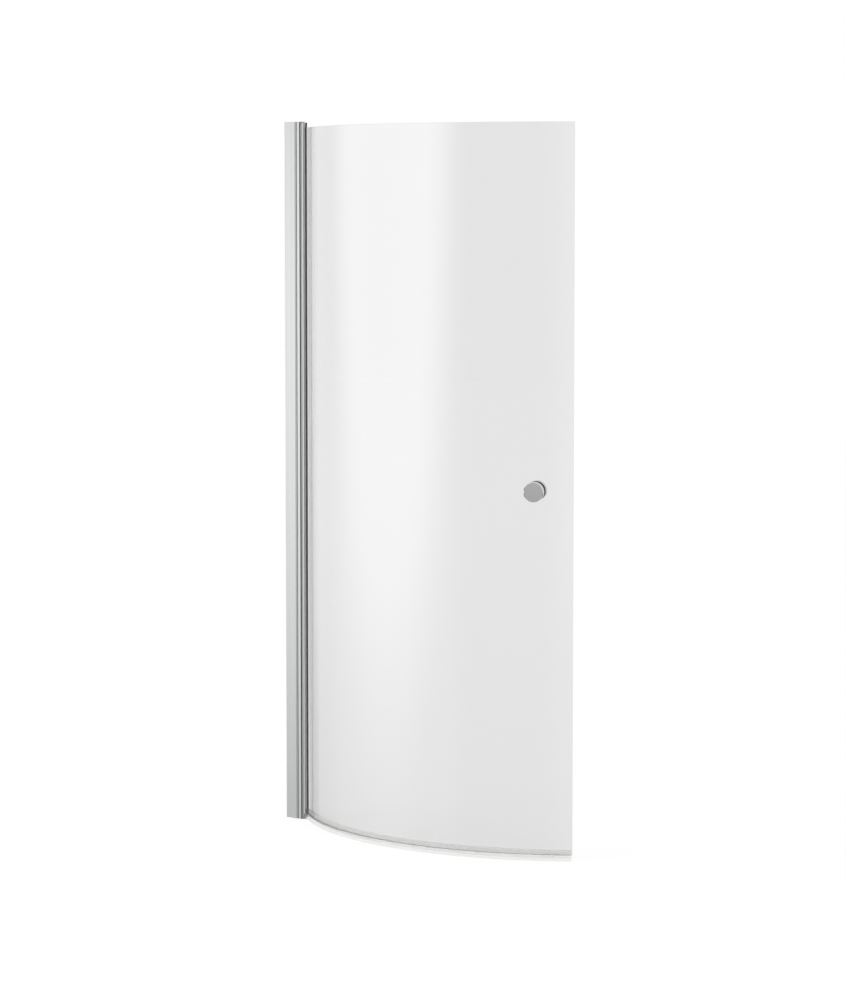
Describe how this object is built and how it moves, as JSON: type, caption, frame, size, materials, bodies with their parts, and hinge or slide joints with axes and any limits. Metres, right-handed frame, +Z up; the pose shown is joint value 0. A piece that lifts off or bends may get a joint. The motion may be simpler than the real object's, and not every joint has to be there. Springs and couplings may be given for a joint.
{
  "type": "bath screen",
  "caption": "Bowed glass bath screen for a P-shaped bath, hinged on a slim wall profile, with a round knob and a soft bottom seal.",
  "frame": {"origin": "bottom edge of the wall channel's back face, on the channel's middle plane, level with the lowest edge of the seal", "axes": "+X away from the wall towards the screen's free edge, +Y towards the bath, +Z up; the glass bows out towards -Y"},
  "size_m": [0.733, 0.1387, 1.4],
  "materials": {
    "satin_aluminium": "satin anodised",
    "stainless_steel": "brushed",
    "chrome": "polished",
    "black_rubber": "matt",
    "grey_rubber": "matt",
    "clear_glass": "clear, polished",
    "clear_plastic": "translucent",
    "grey_plastic": "satin"
  },
  "bodies": {
    "wall_side": {"wall_channel": "satin_aluminium", "hinge_profile": "satin_aluminium", "cradle_seal": "grey_rubber", "bottom_pivot_plate": "stainless_steel", "top_pivot_plate": "stainless_steel", "bottom_pivot_pin": "stainless_steel", "top_pivot_pin": "stainless_steel", "thrust_washer": "grey_plastic", "plate_screws": "stainless_steel", "side_fixing_screws": "stainless_steel", "screw_caps": "grey_plastic", "channel_bottom_cap": "grey_plastic", "channel_top_cap": "grey_plastic"},
    "screen": {"glass_profile": "satin_aluminium", "bottom_pivot_plug": "grey_plastic", "top_pivot_plug": "grey_plastic", "outer_gasket": "grey_rubber", "inner_gasket": "black_rubber", "edge_packers": "grey_plastic", "glass_panel": "clear_glass", "bottom_seal_channel": "clear_plastic", "bottom_seal_fins": "clear_plastic", "outer_knob": "chrome", "inner_knob": "chrome", "knob_grub_screw": "stainless_steel", "knob_stud": "stainless_steel", "outer_knob_washer": "clear_plastic", "inner_knob_washer": "clear_plastic", "knob_sleeve": "grey_plastic"}
  },
  "joints": [
    {"name": "screen_swing", "type": "hinge", "parent": "wall_side", "child": "screen", "pos_m": [0.0425, -0.002, 0.7], "axis": [0, 0, 1], "range_deg": [-40, 90]}
  ]
}
